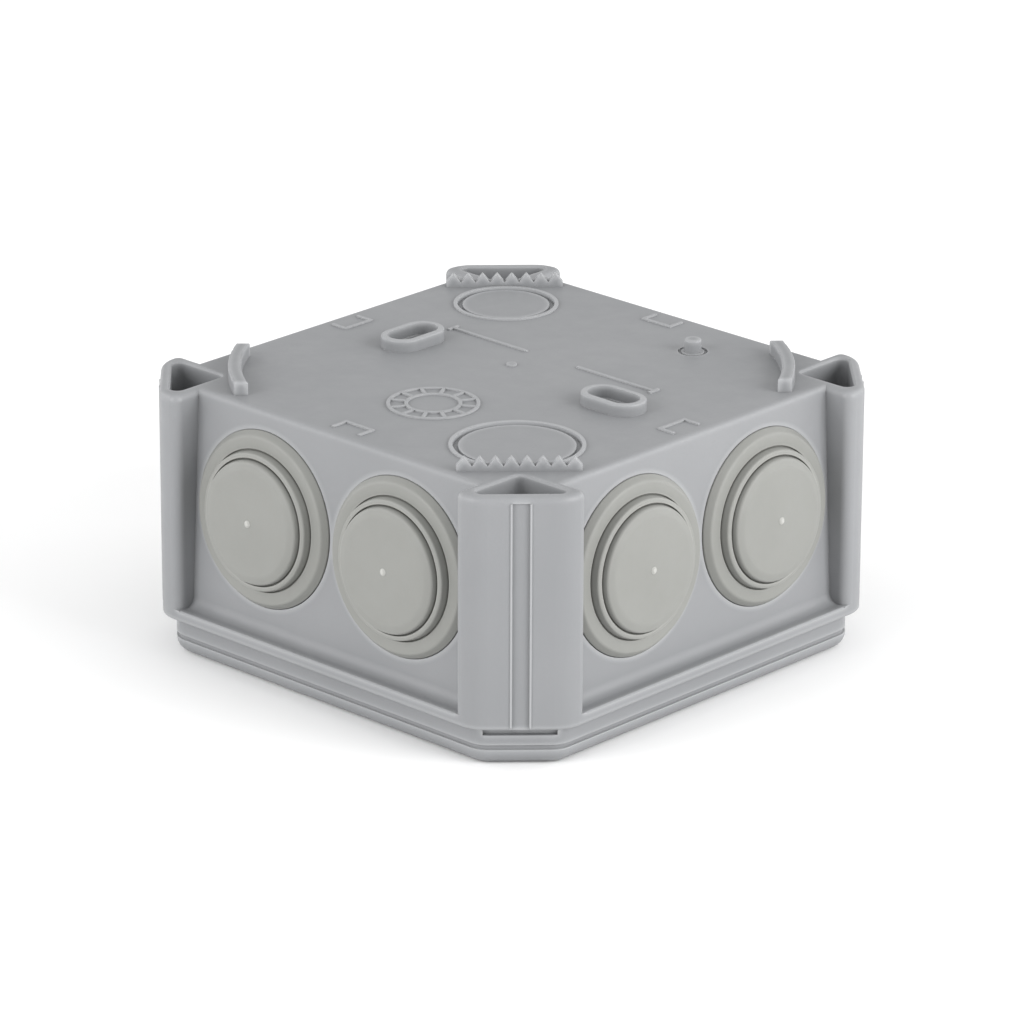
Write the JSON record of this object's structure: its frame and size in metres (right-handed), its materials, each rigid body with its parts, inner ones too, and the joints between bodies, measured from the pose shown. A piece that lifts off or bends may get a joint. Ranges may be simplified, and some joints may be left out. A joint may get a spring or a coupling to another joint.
{
  "type": "junction box",
  "caption": "Square surface-mount junction box lying on its lid, with soft plug-in cable seals, corner posts, slotted fixing points and quarter-turn lid locks.",
  "frame": {"origin": "centre of the lid's outer face, which is the bottom of the box as it lies", "axes": "+Z from the lid's face to the back panel; X and Y square to the side walls, -Y front, +X right"},
  "size_m": [0.114, 0.114, 0.0598],
  "materials": {
    "box_plastic": "light grey moulded plastic with a fine satin texture",
    "seal_rubber": "warm grey soft rubber-like plastic, matt",
    "gasket_rubber": "dark soft sealing strip",
    "ring_rubber": "black rubber",
    "lock_plastic": "mid grey glass-filled plastic, satin",
    "strip_plastic": "off-white insulating plastic",
    "clamp_brass": "machined brass",
    "screw_steel": "zinc-plated steel"
  },
  "bodies": {
    "lid": {"lid": "box_plastic", "lid_gasket": "gasket_rubber"},
    "base": {"base": "box_plastic", "entry_seal_back_1": "seal_rubber", "entry_seal_back_2": "seal_rubber", "entry_seal_front_1": "seal_rubber", "entry_seal_front_2": "seal_rubber", "entry_seal_left_1": "seal_rubber", "entry_seal_left_2": "seal_rubber", "entry_seal_right_1": "seal_rubber", "entry_seal_right_2": "seal_rubber", "terminal_strip": "strip_plastic", "terminal_clamps": "clamp_brass", "terminal_screws": "screw_steel", "strip_screws": "screw_steel"},
    "lock_front_right": {"lock_front_right": "lock_plastic", "lock_ring_front_right": "ring_rubber"},
    "lock_back_right": {"lock_back_right": "lock_plastic", "lock_ring_back_right": "ring_rubber"},
    "lock_back_left": {"lock_back_left": "lock_plastic", "lock_ring_back_left": "ring_rubber"},
    "lock_front_left": {"lock_front_left": "lock_plastic", "lock_ring_front_left": "ring_rubber"}
  },
  "joints": [
    {"name": "base_lift_off", "type": "slide", "parent": "lid", "child": "base", "axis": [0, 0, 1], "range_m": [0, 0.07]},
    {"name": "lock_turn_front_right", "type": "hinge", "parent": "lid", "child": "lock_front_right", "pos_m": [0.0441, -0.0441, 0.002], "axis": [0, 0, 1], "range_deg": [0, 90]},
    {"name": "lock_turn_back_right", "type": "hinge", "parent": "lid", "child": "lock_back_right", "pos_m": [0.0441, 0.0441, 0.002], "axis": [0, 0, 1], "range_deg": [0, 90]},
    {"name": "lock_turn_back_left", "type": "hinge", "parent": "lid", "child": "lock_back_left", "pos_m": [-0.0441, 0.0441, 0.002], "axis": [0, 0, 1], "range_deg": [0, 90]},
    {"name": "lock_turn_front_left", "type": "hinge", "parent": "lid", "child": "lock_front_left", "pos_m": [-0.0441, -0.0441, 0.002], "axis": [0, 0, 1], "range_deg": [0, 90]}
  ]
}
